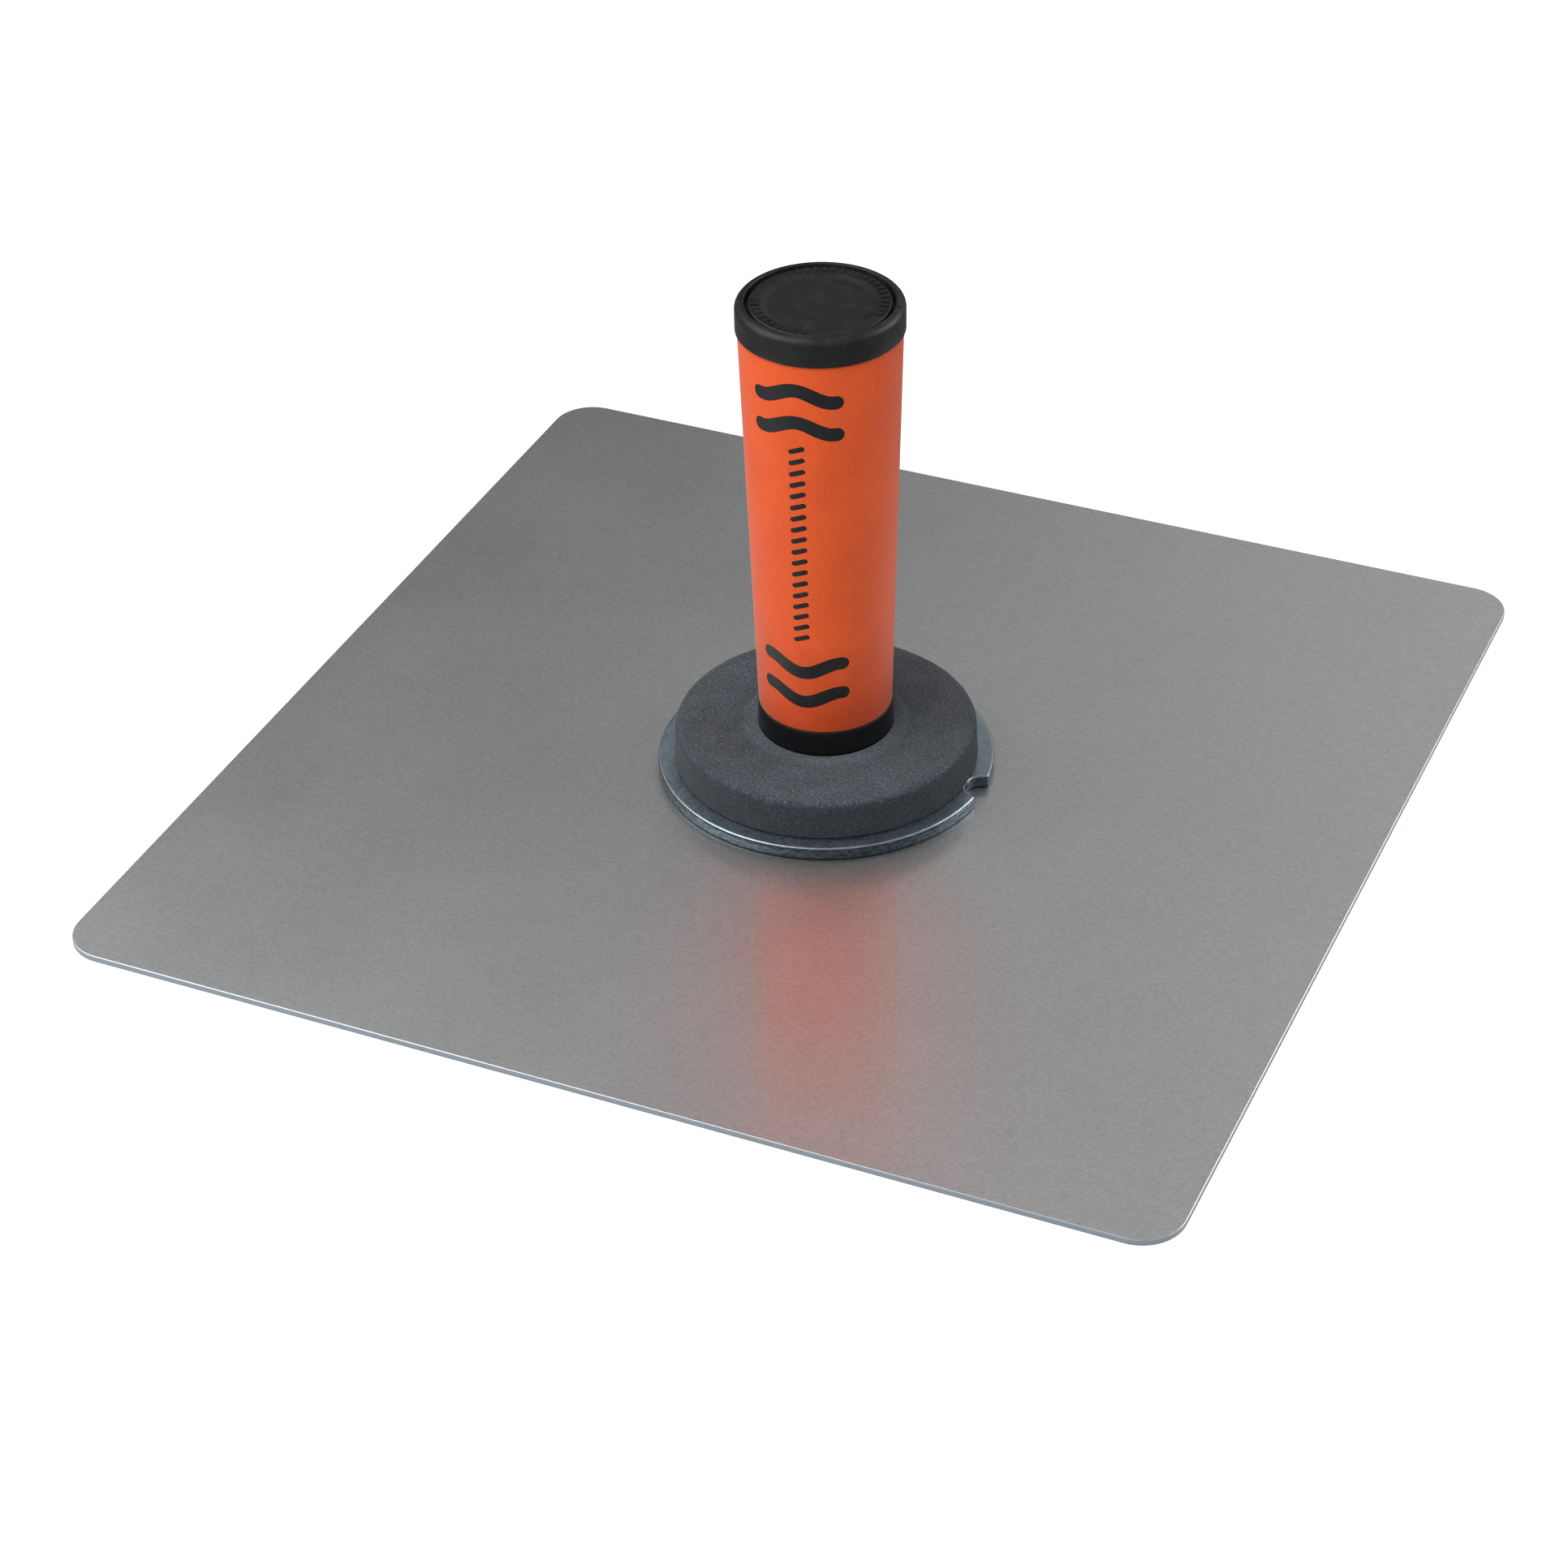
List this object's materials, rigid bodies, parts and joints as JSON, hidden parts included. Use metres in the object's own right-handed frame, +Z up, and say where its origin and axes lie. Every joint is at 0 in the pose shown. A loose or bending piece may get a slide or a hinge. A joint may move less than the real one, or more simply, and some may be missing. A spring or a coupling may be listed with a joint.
{
  "type": "mortar hawk",
  "caption": "Square flat aluminium mortar hawk on its working face, with a round steel disc, foam pad and tapered screw-on handle with a soft sleeve",
  "frame": {"origin": "centre of the blade's working face, the flat face that rests on the surface", "axes": "+Z up out of the working face, along the handle and its thread; X and Y along the blade's edges; the notch in the disc is towards +X"},
  "size_m": [0.3302, 0.3302, 0.157],
  "materials": {
    "blade_aluminium": "satin mill finish with a fine grain",
    "zinc_steel": "zinc plated, sheared edge",
    "rivet_aluminium": "ground flush",
    "charcoal_foam": "fine closed-cell foam, dusty matte",
    "black_plastic": "matte moulded with a slight sheen",
    "insert_brass": "machined",
    "orange_rubber": "soft matte"
  },
  "bodies": {
    "plate": {"blade": "blade_aluminium", "mount_disc": "zinc_steel", "threaded_stud": "zinc_steel", "rivet_1": "rivet_aluminium", "rivet_2": "rivet_aluminium", "rivet_3": "rivet_aluminium", "rivet_4": "rivet_aluminium"},
    "pad": {"foam_pad": "charcoal_foam"},
    "handle": {"handle_core": "black_plastic", "thread_insert": "insert_brass", "grip_sleeve": "orange_rubber", "end_plug": "black_plastic"}
  },
  "joints": [
    {"name": "handle_lift", "type": "slide", "parent": "plate", "child": "pad", "axis": [0, 0, 1], "range_m": [0, 0.01608]},
    {"name": "handle_turn", "type": "hinge", "parent": "pad", "child": "handle", "pos_m": [0, 0, 0.006], "axis": [0, 0, 1], "range_deg": [0, 3645]}
  ],
  "couplings": [
    {"joint": "handle_lift", "follows": "handle_turn", "m_per_rad": 0.00025266}
  ]
}
